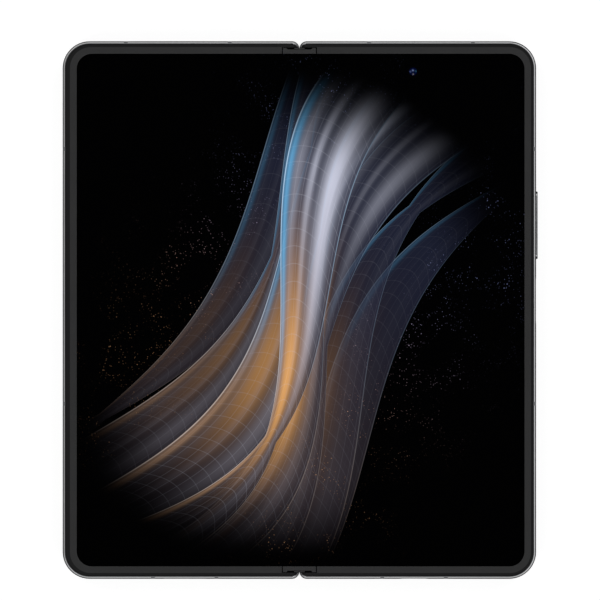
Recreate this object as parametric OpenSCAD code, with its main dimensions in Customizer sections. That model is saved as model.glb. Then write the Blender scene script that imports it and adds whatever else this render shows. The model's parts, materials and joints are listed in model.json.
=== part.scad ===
// Foldable smartphone, book style, lying open on its back.
// X runs across the fold to the right, Y up the phone and Z towards the viewer of the inner screen.
// The origin is under the middle of the fold, level with the lowest face of the camera rings.
// Heights inside the modules are counted from the back of the body.

/* [Body] */
// Width of the opened body over both halves, without the keys
body_w = 140.4; // [138:0.1:143]
// Height of the body along the fold
body_h = 159.4; // [157:0.1:162]
// Thickness of one half, from its back to the top of the bezel
body_t = 6.9; // [6.8:0.05:7.1]
// Plan radius of the four outer corners
corner_r = 8; // [7.5:0.1:8.5]
// Plan radius of the corners beside the fold
notch_r = 2.05; // [2.05:0.05:2.3]
// Thickness of the side rails
rail_w = 1.9; // [1.8:0.05:2]
// Radius of the slight bulge of the side rails
bulge_r = 13; // [11:1:16]
// Width of the metal rim that shows round the bezel
rim_w = 0.8; // [0.78:0.01:0.84]
// Distance from the middle of the fold to each half
seam = 0.08; // [0.08:0.01:0.12]

/* [Bezel and screen] */
// Width of the dark slope at the top and the bottom
slope_w = 0.95; // [0.85:0.01:1]
// Width of the dark slope on the right edge
right_slope_w = 0.76; // [0.65:0.01:0.9]
// Width of the dark slope on the left edge
left_slope_w = 1.36; // [1.2:0.01:1.5]
// Width of the lit area of the inner screen
screen_w = 132.7; // [132:0.1:133.4]
// Height of the lit area of the inner screen
screen_h = 151.9; // [151:0.1:152.5]
// Shift of the lit area to the right of the fold
screen_shift = 0.36; // [0.2:0.02:0.5]
// Corner radius of the lit area
screen_r = 4.5; // [4:0.1:5]
// Depth of the screen below the top of the bezel
screen_drop = 0.45; // [0.4:0.01:0.5]
// Thickness of the flexible screen with its film
panel_t = 0.85; // [0.8:0.01:0.9]
// How far the screen runs on under the bezel
panel_hide = 1.1; // [1:0.1:1.2]
// Half the width of the stretch of screen that bends
bend_reach = 9; // [9:0.1:9.4]
// Distance from the fold to the slits beside the trim caps
slit_x = 5.04; // [5:0.02:5.2]
// Width of those slits
slit_w = 0.3; // [0.25:0.01:0.35]
// Length of a trim cap along the phone
cap_length = 1.3; // [1.2:0.05:1.4]

/* [Hinge] */
// Gap between the two bezels when the phone is shut
fold_gap = 0.5; // [0.5:0.02:0.6]
// Distance from the middle of the fold to each hinge axis
axis_x = 3.8; // [3.8:0.01:3.85]
// Height of the spine's outer face above the back of the body
spine_lift = 1.05; // [1.05:0.01:1.1]
// Wall of the spine
spine_wall = 0.6; // [0.55:0.01:0.6]
// Half the length of the spine
spine_half = 77.7; // [77.5:0.1:77.7]
// Distance from the middle of the phone to each hinge module
hinge_y = 50; // [46:1:52]
// Radius of the main hinge shafts
shaft_r = 0.45; // [0.4:0.01:0.5]
// Teeth of each gear
gear_teeth = 8; // [8:8]
// Height of a tooth beyond the pitch circle
tooth_tip = 0.22; // [0.2:0.01:0.23]
// Swing of the wing plates when the phone is shut, in degrees
wing_swing = 10; // [9.8:0.1:10]

/* [Keys and ports] */
// Middle of the volume rocker
rocker_y = 25.16; // [24:0.1:27]
// Length of the volume rocker
rocker_length = 20; // [18:0.5:22]
// How far the volume rocker stands out of the rail
rocker_proud = 0.44; // [0.35:0.01:0.5]
// Middle of the power key
power_y = 2.9; // [2:0.1:4]
// Length of the power key
power_length = 13.8; // [13:0.1:15]
// Height of the keys across the rail
key_h = 2.6; // [2.4:0.1:2.8]
// Play round a key in its slot
key_play = 0.15; // [0.12:0.01:0.18]
// Middle of the USB socket and, mirrored, of the SIM tray
port_x = 34; // [33.5:0.1:34.5]
// Middle of ports and keys above the back of the body
port_z = 3.3; // [3.2:0.05:3.4]
// Width of the SIM tray's face
tray_w = 13; // [12.5:0.1:13.2]

/* [Cameras] */
// Middle of the camera island across the phone
island_x = 53; // [52:0.5:54]
// Middle of the camera island along the phone
island_y = 48; // [47:0.5:49]
// Width of the camera island
island_w = 21; // [20:0.5:22]
// Length of the camera island
island_l = 53; // [52:0.5:54]
// Height of the island's plate on the rear cover
island_t = 1.3; // [1.2:0.05:1.4]
// Height of a lens ring on the island's plate
ring_t = 0.5; // [0.4:0.05:0.6]
// Outer radius of a lens ring
ring_r = 6.2; // [6:0.1:6.4]
// Radius of the lens glass
lens_r = 5.1; // [5:0.1:5.3]
// Place of the inner camera across the phone
inner_camera_x = 33.7; // [33:0.1:34]
// Place of the inner camera along the phone
inner_camera_y = 70.67; // [70:0.01:71]

/* [Hidden] */
$fn = 48;
island_rise = island_t + ring_t;
half_w = body_w / 2;
half_h = body_h / 2;
fit = 0.02;

// Heights above the back of the body
glass_t = 0.55;
lip_t = 0.9;
rail_foot = 0.45;
rail_top = body_t - 0.35;
ledge_z = body_t - 0.7;
slope_foot = body_t - 0.5;
screen_z = body_t - screen_drop;
panel_z = screen_z - panel_t;
backplate_t = 0.25;
plate_top = panel_z - backplate_t;
plate_t = 0.4;
shelf_top = 3.5;
shelf_t = 0.5;
board_z = 2.2;
board_t = 0.8;

// Slant on top of the metal rim: its drop, where it starts and the flat strip beside the bezel
rim_fall = 0.3;
rim_edge = 0.3;
rim_flat = 0.1;

// Inset of the back glass from the outline and from the seam
glass_inset = 0.55;
glass_seam = 1.7;

// Hinge
axis_z = body_t - axis_x + fold_gap / 2;
spine_r = axis_z - spine_lift;
channel_r = spine_r - spine_wall;
bed_r = axis_z - lip_t;
swing_clear_r = axis_x - seam;
pitch_r = axis_x / 3;
tip_r = pitch_r + tooth_tip;
root_r = pitch_r - 0.34;
hub_r = 1.25;
bracket_r = 1.2;
idler_axle_r = 0.3;
arm_z = shelf_top;
arm_t = 0.75;
arm_reach = 13.2;
arm_ys = [-1.5, 7];
gear_ys = [7.5, 10];
bed_wall = 0.95;
step_x = 14;
wing_pivot_x = 13.4;
wing_pivot_z = 5.25;
wing_inner_x = 5.4;
wing_half = 73.5;
wing_lug = 75.6;
wing_pin_r = 0.18;
lifter_half_w = 2.3;
lifter_t = 0.12;
lifter_z = panel_z - 0.25 - lifter_t;

// Half the length of the rails' inner space, and of the panel
bay_h = half_h - rail_w;
panel_h = screen_h / 2 + panel_hide;
right_screen_x = screen_w / 2 + screen_shift;
left_screen_x = screen_w / 2 - screen_shift;

// Width of the ears at the two ends of a trim cap
ear_w = 1.1;

// Tongue in the middle of a trim cap: half its width, and the groove before it
tongue_half_w = 1.6;
groove_w = 0.12;
groove_drop = 0.3;

// Antenna bands
band_w = 1.15;
band_d = 0.9;
top_bands = [20.63, 51.42];
bottom_bands = [24.57, 43.39];
side_bands = [47.73, -27.76];

// Cameras
lens_ys = [island_y + 18, island_y + 4.5, island_y - 9];
flash_y = island_y - 20.5;
flash_r = 2.2;
inner_hole_r = 1.9;
inner_room_r = 2.5;
cover_camera_at = [37, 68.5];

// Keys and ports
power_face_x = half_w - 0.12;
usb_outer = [8.94, 3.16];
usb_inner = [8.34, 2.56];
vent_r = 0.55;
vent_pitch = 2.3;
mic_r = 0.4;

// Screws
screw_r = 0.5;
screw_hole_r = 0.52;
board_screws = [[18, 73], [18, 18], [40, 18], [43.6, 66]];
sub_screws = [[18, 73], [64, 73], [18, 56], [64, 56]];
arm_screw_x = 11;
arm_screws = [0.2, 5.3];

// ---- helpers ----

module lifted() {
  translate([0, 0, island_rise]) children();
}

module left_side() {
  mirror([1, 0, 0]) children();
}

// Plan of the right half, drawn in by an inset from its edges and from the seam
module half_plan(inset, hinge_inset) {
  x_in = seam + hinge_inset;
  x_out = half_w - inset;
  y_out = half_h - inset;
  r_out = corner_r - inset;
  r_in = notch_r - inset;
  translate([x_in + r_in, -y_out]) square([x_out - r_out - x_in - r_in, 2 * y_out]);
  translate([x_in, r_in - y_out]) square([x_out - r_out - x_in, 2 * (y_out - r_in)]);
  translate([x_in + r_in, r_out - y_out]) square([x_out - x_in - r_in, 2 * (y_out - r_out)]);
  for (s = [-1, 1]) {
    translate([x_in + r_in, s * (y_out - r_in)]) circle(r_in);
    translate([x_out - r_out, s * (y_out - r_out)]) circle(r_out);
  }
}

// Right-hand end of a plate with two round corners, square at the left
module plan_end(x_in, x_out, y_out, r) {
  translate([x_in, -y_out]) square([x_out - r - x_in, 2 * y_out]);
  translate([x_in, r - y_out]) square([x_out - x_in, 2 * (y_out - r)]);
  for (s = [-1, 1]) translate([x_out - r, s * (y_out - r)]) circle(r);
}

module soft_rect(w, h, r) {
  square([w - 2 * r, h], center = true);
  square([w, h - 2 * r], center = true);
  for (x = [-1, 1], y = [-1, 1]) translate([x * (w / 2 - r), y * (h / 2 - r)]) circle(r);
}

module block(x, y, z) {
  translate([x[0], y[0], z[0]]) cube([x[1] - x[0], y[1] - y[0], z[1] - z[0]]);
}

// A profile drawn as inward distance and height, led round the three outer sides of the right half
module led_round() {
  for (s = [0, 1]) mirror([0, s, 0]) {
    translate([seam + notch_r, half_h, 0]) rotate([90, 0, 90])
      linear_extrude(half_w - corner_r - seam - notch_r) mirror([1, 0]) children();
    translate([half_w - corner_r, half_h - corner_r, 0]) rotate_extrude(angle = 90)
      translate([corner_r, 0]) mirror([1, 0]) children();
    translate([seam + notch_r, half_h - notch_r, 0]) rotate([0, 0, 90]) rotate_extrude(angle = 90)
      translate([notch_r, 0]) mirror([1, 0]) children();
  }
  translate([half_w, half_h - corner_r, 0]) rotate([90, 0, 0])
    linear_extrude(2 * (half_h - corner_r)) mirror([1, 0]) children();
}

// A cylinder along Y between two places on it
module rod(x, z, r, y) {
  translate([x, y[1], z]) rotate([90, 0, 0]) cylinder(h = y[1] - y[0], r = r);
}

// A pill shape in the plane of the right rail, between two places across it
module key_pill(x, y, length, height) {
  translate([x[0], y, port_z]) rotate([90, 0, 90]) linear_extrude(x[1] - x[0])
    soft_rect(length, height, height / 2 - 0.01);
}

// A pill shape in the plane of the bottom rail, between two places along the phone
module port_pill(y, w, h) {
  translate([port_x, y[1], port_z]) rotate([90, 0, 0]) linear_extrude(y[1] - y[0])
    soft_rect(w, h, h / 2 - 0.01);
}

// Slot of a key in the right rail, with its play
module key_slot(y, length) {
  key_pill([half_w - rail_w - 1, half_w + 1], y, length + 2 * key_play, key_h + 2 * key_play);
}

module at_hinges() {
  for (s = [0, 1]) mirror([0, s, 0]) translate([0, hinge_y, 0]) children();
}

// Room above the axis that the other half needs as the phone shuts
module swing_relief() {
  difference() {
    block([-1, axis_x], [-half_h - 1, half_h + 1], [axis_z, body_t + 1]);
    rod(axis_x, axis_z, swing_clear_r, [-half_h - 2, half_h + 2]);
  }
}

// ---- shapes that both halves share ----

module rail_profile() {
  intersection() {
    union() {
      polygon([
        [0, rail_foot], [rim_w, rail_foot], [rim_w, rail_top],
        [rim_w - rim_flat, rail_top], [rim_edge, rail_top - rim_fall], [0, rail_top - rim_fall]
      ]);
      translate([0, rail_foot]) square([rail_w, ledge_z - rail_foot]);
    }
    translate([bulge_r, port_z]) circle(bulge_r, $fn = 180);
  }
}

module rails() {
  difference() {
    led_round() rail_profile();
    block([-1, notch_r + 2], [-bay_h, bay_h], [0, body_t]);
    swing_relief();
  }
}

module bands() {
  span = [-band_w / 2, band_w / 2];
  for (x = top_bands) translate([x, 0, 0]) block(span, [half_h - band_d, half_h + 1], [0, body_t]);
  for (x = bottom_bands) translate([x, 0, 0]) block(span, [-half_h - 1, band_d - half_h], [0, body_t]);
  for (y = side_bands) translate([0, y, 0]) block([half_w - band_d, half_w + 1], span, [0, body_t]);
}

module back_pocket() {
  translate([0, 0, -1]) linear_extrude(1 + glass_t + fit) intersection() {
    half_plan(glass_inset - fit, glass_seam - fit);
    translate([seam + glass_seam - fit, -half_h]) square([half_w, body_h]);
  }
}

// Bed in which the spine turns, the shelf of the hinge arms and the plate behind the screen
module hinge_bed() {
  difference() {
    union() {
      linear_extrude(lip_t) intersection() {
        half_plan(0.4, 0);
        translate([0, -half_h]) square([axis_x + bed_r + bed_wall, body_h]);
      }
      block([axis_x + 1, axis_x + bed_r + bed_wall], [-bay_h, bay_h], [lip_t - 0.01, shelf_top]);
      block([axis_x + bed_r, step_x], [-bay_h, bay_h], [shelf_top - shelf_t, shelf_top]);
      block([step_x, step_x + 0.6], [-bay_h, bay_h], [shelf_top - shelf_t, plate_top]);
      block([step_x, half_w - rail_w], [-bay_h, bay_h], [plate_top - plate_t, plate_top]);
      for (s = [-1, 1]) translate([0, s * (wing_half + wing_lug) / 2, 0])
        block([wing_pivot_x - 0.6, step_x], [-0.9, 0.9], [shelf_top - 0.01, plate_top]);
    }
    rod(axis_x, axis_z, bed_r, [-bay_h, bay_h]);
    block([-1, axis_x], [-bay_h, bay_h], [lip_t, body_t]);
    block([-1, axis_x + bed_r], [-bay_h, bay_h], [axis_z, body_t]);
    for (s = [-1, 1]) rod(wing_pivot_x, wing_pivot_z, wing_pin_r + 0.03,
      [min(s * wing_half, s * (wing_lug + 1)), max(s * wing_half, s * (wing_lug + 1))]);
    for (t = arm_screws) at_hinges() translate([arm_screw_x, t, shelf_top - 1])
      cylinder(h = 2, r = screw_hole_r);
  }
}

module corner_fill() {
  intersection() {
    linear_extrude(plate_top) half_plan(rail_w - 0.05, 5);
    block([step_x, half_w], [-half_h, half_h], [plate_top - plate_t, plate_top]);
  }
}

module half_frame() {
  difference() {
    union() {
      rails();
      intersection() {
        hinge_bed();
        linear_extrude(body_t) half_plan(0.4, 0);
      }
      corner_fill();
    }
    back_pocket();
    bands();
  }
}

module bosses(places) {
  for (p = places) translate([p[0], p[1], board_z + board_t]) difference() {
    cylinder(h = plate_top - plate_t - board_z - board_t + 0.01, r = 1.2);
    translate([0, 0, -1]) cylinder(h = 2.4, r = screw_hole_r);
  }
}

module half_bands() {
  intersection() {
    difference() {
      rails();
      back_pocket();
    }
    bands();
  }
}

module half_bezel(slope, edge_x) {
  start = -12;
  difference() {
    intersection() {
      hull() {
        translate([0, 0, ledge_z]) linear_extrude(slope_foot - ledge_z)
          plan_end(start, half_w - rim_w - fit, half_h - rim_w - fit, corner_r - rim_w - fit);
        translate([0, 0, body_t - 0.02]) linear_extrude(0.02)
          plan_end(start, half_w - rim_w - slope, half_h - rim_w - slope_w, corner_r - rim_w - slope_w);
      }
      linear_extrude(body_t + 1) half_plan(rim_w + fit, 0.2);
    }
    translate([0, 0, -1]) linear_extrude(body_t + 2)
      plan_end(start - 1, edge_x, screen_h / 2, screen_r);
    linear_extrude(screen_z)
      plan_end(start - 1, edge_x + panel_hide + 0.05, panel_h + 0.05, screen_r + panel_hide);
    block([start - 1, slit_x + slit_w / 2], [-bay_h, bay_h], [0, body_t + 1]);
    swing_relief();
  }
}

module half_panel(x_in, edge_x, thick) {
  linear_extrude(thick) plan_end(x_in, edge_x + panel_hide, panel_h, screen_r + panel_hide);
}

// Glass of the back with a rounded edge on its three outer sides
module back_glass() {
  difference() {
    union() {
      led_round() {
        intersection() {
          translate([glass_inset + glass_t, glass_t]) circle(glass_t);
          translate([glass_inset - 0.05, 0]) square([1, glass_t]);
        }
        translate([glass_inset + glass_t, 0]) square([0.8, glass_t]);
      }
      linear_extrude(glass_t) half_plan(rail_w - 0.05, 1);
    }
    block([-1, seam + glass_seam], [-half_h, half_h], [-1, body_t]);
  }
}

// Toothed wheel in the plane across the fold, with a tooth at the given angle
module gear(bore_r, phase, y) {
  tooth_root = 0.26;
  tooth_pitch = 0.215;
  tooth_top = 0.11;
  translate([0, y[1], 0]) rotate([90, 0, 0]) linear_extrude(y[1] - y[0]) difference() {
    union() {
      circle(root_r);
      for (i = [0 : gear_teeth - 1]) rotate(phase + i * 360 / gear_teeth) polygon([
        [root_r - 0.2, -tooth_root], [pitch_r, -tooth_pitch], [tip_r, -tooth_top],
        [tip_r, tooth_top], [pitch_r, tooth_pitch], [root_r - 0.2, tooth_root]
      ]);
    }
    circle(bore_r);
  }
}

module half_arms(phase) {
  at_hinges() {
    translate([axis_x, 0, axis_z]) gear(shaft_r + 0.05, phase, gear_ys);
    difference() {
      union() {
        rod(axis_x, axis_z, hub_r, [-2, gear_ys[0]]);
        block([axis_x, arm_reach], arm_ys, [arm_z, arm_z + arm_t]);
      }
      rod(axis_x, axis_z, shaft_r + 0.05, [-3, gear_ys[0] + 1]);
      for (t = arm_screws) translate([arm_screw_x, t, arm_z - 1]) cylinder(h = 3, r = screw_hole_r);
    }
  }
}

module half_arm_screws() {
  at_hinges() for (t = arm_screws) translate([arm_screw_x, t, 0]) {
    translate([0, 0, shelf_top - shelf_t]) cylinder(h = arm_t + shelf_t, r = screw_r);
    translate([0, 0, arm_z + arm_t]) cylinder(h = 0.35, r = 0.9);
  }
}

module screws_at(places) {
  for (p = places) translate([p[0], p[1], 0]) {
    translate([0, 0, board_z - 0.4]) cylinder(h = 0.4, r = 1);
    translate([0, 0, board_z]) cylinder(h = board_t + 1.2, r = screw_r);
  }
}

module half_wing() {
  wing_bottom = wing_pivot_z + 0.05;
  rod(wing_pivot_x, wing_pivot_z, wing_pin_r, [-wing_lug + 0.2, wing_lug - 0.2]);
  difference() {
    block([wing_inner_x, wing_pivot_x], [-wing_half, wing_half], [wing_bottom, panel_z - 0.05]);
    at_hinges() {
      block([0, axis_x + 4.8], [arm_ys[0] - 0.4, arm_ys[1] + 0.4], [0, body_t]);
      block([0, axis_x + 3], gear_ys, [0, body_t]);
      for (t = arm_screws) translate([arm_screw_x, t, 0]) cylinder(h = body_t, r = 1.2);
    }
  }
}

module half_magnets() {
  outer_x = half_w - rail_w - 0.2;
  for (y = [-58, -44, 56]) block([outer_x - 1.3, outer_x], [y - 5, y + 5], [1.4, 4.6]);
}

// ---- right half ----

module right_frame() {
  color("#5b5d61") lifted() difference() {
    union() {
      half_frame();
      bosses(board_screws);
    }
    key_slot(rocker_y, rocker_length);
    key_slot(power_y, power_length);
    port_pill([-half_h - 1, 0.2 - bay_h], usb_outer[0] + 2 * fit, usb_outer[1] + 2 * fit);
    for (i = [0 : 5]) rod(47.6 + vent_pitch * i, port_z, vent_r, [-half_h - 1, 0.2 - bay_h]);
    rod(20.8, port_z, mic_r, [-half_h - 1, 0.2 - bay_h]);
    rod(30, port_z, mic_r, [bay_h - 0.2, half_h + 1]);
    translate([inner_camera_x, inner_camera_y, 0]) cylinder(h = body_t, r = inner_room_r);
  }
}

module right_antenna_bands() {
  color("#3c3d40") lifted() half_bands();
}

module right_bezel() {
  color("#2f2f2f") lifted() half_bezel(right_slope_w, right_screen_x);
}

module display_right() {
  color("#050506") lifted() difference() {
    translate([0, 0, panel_z]) half_panel(bend_reach, right_screen_x, panel_t);
    translate([inner_camera_x, inner_camera_y, 0]) cylinder(h = body_t, r = inner_hole_r);
  }
}

module display_backplate_right() {
  color("#8a8d92") lifted() difference() {
    translate([0, 0, plate_top]) half_panel(step_x, right_screen_x - 0.4, backplate_t);
    translate([inner_camera_x, inner_camera_y, 0]) cylinder(h = body_t, r = inner_room_r);
  }
}

module rear_cover() {
  color("#1b1c1f") lifted() difference() {
    back_glass();
    for (y = lens_ys) translate([island_x, y, -1]) cylinder(h = 3, r = lens_r);
    translate([island_x, flash_y, -1]) cylinder(h = 3, r = flash_r);
  }
}

module camera_island() {
  color("#26272a") lifted() difference() {
    translate([island_x, island_y, -island_t]) linear_extrude(island_t)
      soft_rect(island_w, island_l, island_w / 2 - 0.01);
    for (y = lens_ys) translate([island_x, y, -3]) cylinder(h = 5, r = lens_r);
    translate([island_x, flash_y, -3]) cylinder(h = 5, r = flash_r);
  }
}

module camera_rings() {
  color("#6f7276") lifted() for (y = lens_ys) translate([island_x, y, -island_rise]) difference() {
    cylinder(h = ring_t, r = ring_r);
    translate([0, 0, -1]) cylinder(h = 3, r = lens_r);
  }
}

module camera_lenses() {
  color("#0c0f16") lifted() for (y = lens_ys) translate([island_x, y, 0.3 - island_rise])
    cylinder(h = 0.6, r = lens_r - fit);
}

module camera_modules() {
  color("#202124") lifted() for (y = lens_ys) translate([island_x, y, 0]) {
    translate([0, 0, 1 - island_rise]) cylinder(h = island_rise + 0.2, r = 4.4);
    translate([-5.2, -5.2, 1.1]) cube([10.4, 10.4, 3.5]);
  }
}

module flash_window() {
  color("#f2ead0") lifted() translate([island_x, flash_y, -island_t]) {
    cylinder(h = 0.5, r = flash_r - fit);
    cylinder(h = island_t + 1, r = 1.4);
  }
}

module main_board() {
  color("#16402b") lifted() difference() {
    block([15.4, 46.4], [13.5, 76.4], [board_z, board_z + board_t]);
    for (p = board_screws) translate([p[0], p[1], 0]) cylinder(h = 6, r = screw_r + 0.05);
  }
}

module shield_cans() {
  can_z = [board_z + board_t, plate_top - plate_t - 0.15];
  color("#a7abb0") lifted() {
    block([20.5, 44], [22, 42], can_z);
    block([20.5, 41.5], [44, 62.5], can_z);
    block([16.5, 29], [64.5, 70.5], can_z);
    block([18, 44], [21, 60], [1, board_z]);
  }
}

module battery_right() {
  color("#24262a") lifted() {
    block([15.6, 65.6], [-61, 11.5], [0.8, 4.7]);
    block([28, 40], [11.5, 13], [1.4, 2.6]);
  }
}

module usb_shell() {
  color("#9a9da3") lifted() difference() {
    port_pill([0.25 - half_h, 7.6 - half_h], usb_outer[0], usb_outer[1]);
    port_pill([-half_h, 7.1 - half_h], usb_inner[0], usb_inner[1]);
  }
}

module usb_tongue() {
  color("#101012") lifted()
    translate([port_x, 7.1 - half_h, port_z]) rotate([90, 0, 0]) linear_extrude(6.2)
      soft_rect(6.69, 0.7, 0.2);
}

module speaker_bottom() {
  color("#1d1e20") lifted() {
    block([45.8, 61.2], [-bay_h + 0.6, -64], [1.1, 4.7]);
    block([46.4, 60.4], [-bay_h + 0.05, -bay_h + 0.6], [2.2, 4.4]);
  }
}

module vibration_motor() {
  color("#b4b7bb") lifted() block([15.8, 26.4], [-75.8, -66], [1.1, 4.6]);
}

module inner_camera() {
  barrel_z = board_z + board_t + 0.9;
  color("#16171a") lifted() translate([inner_camera_x, inner_camera_y, 0]) {
    translate([-3.1, -3.1, board_z + board_t + 0.05]) cube([6.2, 6.2, 0.9]);
    translate([0, 0, barrel_z]) cylinder(h = 1.5, r = 2.4);
    translate([0, 0, barrel_z]) cylinder(h = screen_z - 0.4 - barrel_z, r = 1.5);
  }
}

module inner_camera_window() {
  color("#0a1230") lifted() translate([inner_camera_x, inner_camera_y, screen_z - 0.35])
    cylinder(h = 0.33, r = inner_hole_r - fit);
}

module key_switches() {
  color("#c2a24a") lifted() {
    block([half_w - rail_w - 2.1, half_w - rail_w - 1.7], [power_y - 6, rocker_y + 9], [2.2, 4.4]);
    for (y = [power_y, rocker_y - 6, rocker_y + 6]) translate([half_w - rail_w - 1.7, y, port_z])
      rotate([0, 90, 0]) cylinder(h = 0.6, r = 1.3);
  }
}

module magnets_right() {
  color("#b9bcc0") lifted() half_magnets();
}

module board_screws() {
  color("#c9ccd0") lifted() screws_at(board_screws);
}

module right_hinge_arms() {
  color("#8f9297") lifted() half_arms(0);
}

module right_arm_screws() {
  color("#c9ccd0") lifted() half_arm_screws();
}

// ---- left half ----

module left_frame() {
  color("#5b5d61") lifted() left_side() difference() {
    union() {
      half_frame();
      bosses(sub_screws);
    }
    port_pill([-half_h - 1, 0.2 - bay_h], tray_w + 0.2, 2.2);
    for (i = [0 : 4]) rod(35 + vent_pitch * i, port_z, vent_r, [bay_h - 0.2, half_h + 1]);
    rod(20, port_z, mic_r, [-half_h - 1, 0.2 - bay_h]);
  }
}

module left_antenna_bands() {
  color("#3c3d40") lifted() left_side() half_bands();
}

module left_bezel() {
  color("#2f2f2f") lifted() left_side() half_bezel(left_slope_w, left_screen_x);
}

module display_left() {
  color("#050506") lifted() left_side() translate([0, 0, panel_z])
    half_panel(bend_reach, left_screen_x, panel_t);
}

module display_backplate_left() {
  color("#8a8d92") lifted() left_side() translate([0, 0, plate_top])
    half_panel(step_x, left_screen_x - 0.4, backplate_t);
}

module cover_glass() {
  color("#08090b") lifted() left_side() back_glass();
}

module cover_display() {
  color("#0b0b0d") lifted() left_side() difference() {
    translate([0, 0, glass_t + fit]) linear_extrude(0.75) plan_end(7.4, 67.6, 76.6, 5);
    translate(cover_camera_at) cylinder(h = 3, r = inner_hole_r);
  }
}

module cover_camera() {
  color("#16171a") lifted() left_side() translate(cover_camera_at) {
    translate([0, 0, glass_t + 0.1]) cylinder(h = 1.5, r = 1.8);
    translate([-3, -3, 1.5]) cube([6, 6, 2.9]);
  }
}

module battery_left() {
  color("#24262a") lifted() left_side() {
    block([15.6, 66.4], [-46, 52], [1.45, 4.7]);
    block([30, 42], [52, 53.4], [1.6, 2.6]);
  }
}

module sub_board() {
  color("#16402b") lifted() left_side() difference() {
    block([15.4, 66.6], [53.8, 76.4], [board_z, board_z + board_t]);
    for (p = sub_screws) translate([p[0], p[1], 0]) cylinder(h = 6, r = screw_r + 0.05);
    translate(cover_camera_at) cube([7, 7, 12], center = true);
    block([47.5, 60.5], [69, 77], [0, 6]);
  }
}

module earpiece() {
  color("#1d1e20") lifted() left_side() {
    block([47.9, 60.1], [69.4, 77.2], [1.45, 4.7]);
    block([34.4, 49], [bay_h - 0.85, bay_h - 0.05], [2.5, 4.1]);
  }
}

module sim_reader() {
  color("#a7abb0") lifted() left_side() difference() {
    block([port_x - 7.2, port_x + 7.2], [-bay_h + 0.3, -58], [2.2, 4.4]);
    block([port_x - 6.5, port_x + 6.5], [-bay_h - 1, -58.8], [2.5, 4.1]);
  }
}

module magnets_left() {
  color("#b9bcc0") lifted() left_side() half_magnets();
}

module sub_board_screws() {
  color("#c9ccd0") lifted() left_side() screws_at(sub_screws);
}

module left_hinge_arms() {
  color("#8f9297") lifted() left_side() half_arms(180 / gear_teeth);
}

module left_arm_screws() {
  color("#c9ccd0") lifted() left_side() half_arm_screws();
}

// ---- hinge between the halves ----

module channel_profile(r) {
  for (x = [-1, 1]) translate([x * axis_x, axis_z]) circle(r);
  translate([-axis_x, axis_z - r]) square([2 * axis_x, r]);
}

module across_fold(y) {
  translate([0, y[1], 0]) rotate([90, 0, 0]) linear_extrude(y[1] - y[0]) children();
}

module hinge_spine() {
  end_wall = 0.8;
  tab_half_w = 1.6;
  tab_top = axis_z + slit_x + slit_w / 2 - axis_x - 0.1;
  color("#4a4c50") lifted() {
    across_fold([-spine_half, spine_half]) difference() {
      channel_profile(spine_r);
      channel_profile(channel_r);
      translate([-10, axis_z]) square([20, 10]);
    }
    for (s = [0, 1]) mirror([0, s, 0]) {
      across_fold([spine_half - end_wall, spine_half]) intersection() {
        channel_profile(spine_r);
        translate([-10, 0]) square([20, axis_z]);
      }
      block([-tab_half_w, tab_half_w], [spine_half - end_wall, spine_half], [axis_z - 0.5, tab_top]);
    }
  }
}

module bracket(y, half_width, shafts) {
  difference() {
    across_fold(y) union() {
      translate([-half_width, axis_z - channel_r]) square([2 * half_width, channel_r + bracket_r]);
      if (shafts) for (x = [-1, 1]) translate([x * axis_x, axis_z]) circle(bracket_r);
    }
    if (shafts) for (x = [-1, 1]) rod(x * axis_x, axis_z, shaft_r + 0.01, [y[0] - 1, y[1] + 1]);
    for (x = [-1, 1]) rod(x * axis_x / 3, axis_z, idler_axle_r + 0.01, [y[0] - 1, y[1] + 1]);
    translate([0, (y[0] + y[1]) / 2, axis_z]) cylinder(h = 3, r = 0.38);
  }
}

module hinge_brackets() {
  color("#7d8085") lifted() at_hinges() {
    bracket([10.2, 12], axis_x, true);
    bracket([5.6, 7.2], 2.2, false);
    bracket([-12, -10.2], axis_x, true);
  }
}

module hinge_shafts() {
  color("#c9ccd0") lifted() at_hinges() for (x = [-1, 1]) rod(x * axis_x, axis_z, shaft_r, [-12, 12]);
}

module idler_axles() {
  color("#c9ccd0") lifted() at_hinges() for (x = [-1, 1])
    rod(x * axis_x / 3, axis_z, idler_axle_r, [5.6, 12]);
}

module torque_cams() {
  color("#9a9da3") lifted() at_hinges() for (x = [-1, 1]) difference() {
    union() {
      rod(x * axis_x, axis_z, hub_r - 0.05, [-3.4, -2.1]);
      translate([x * axis_x / 2, -2.75, axis_z - 0.7]) cube([axis_x - 1.2, 1.3, 0.8], center = true);
    }
    rod(x * axis_x, axis_z, shaft_r + fit, [-4, -1]);
  }
}

module torque_springs() {
  color("#b4b7bb") lifted() at_hinges() for (x = [-1, 1]) difference() {
    rod(x * axis_x, axis_z, 1.1, [-10.1, -3.5]);
    rod(x * axis_x, axis_z, shaft_r + 0.1, [-11, -3]);
  }
}

module display_bend() {
  color("#050506") lifted() block([-bend_reach, bend_reach], [-panel_h, panel_h], [panel_z, screen_z]);
}

module trim_cap() {
  reach = slit_x - slit_w / 2;
  start = screen_h / 2;
  edge = start + cap_length;
  block([-reach, reach], [start, edge], [screen_z, body_t]);
  for (x = [-reach, reach - ear_w]) block([x, x + ear_w], [start, bay_h - 0.1], [screen_z, body_t]);
  block([-tongue_half_w, tongue_half_w], [edge - 0.1, bay_h - 0.1], [screen_z, body_t - groove_drop]);
  block([-tongue_half_w, tongue_half_w], [edge + groove_w, bay_h - 0.1], [screen_z, body_t]);
}

module trim_cap_top() {
  color("#353535") lifted() trim_cap();
}

module trim_cap_bottom() {
  color("#353535") lifted() mirror([0, 1, 0]) trim_cap();
}

module hinge_flex_cables() {
  color("#8a5a22") lifted() for (y = [-20, 20])
    block([-bend_reach, bend_reach], [y - 6, y + 6], [shelf_top + 0.1, shelf_top + 0.22]);
}

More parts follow.
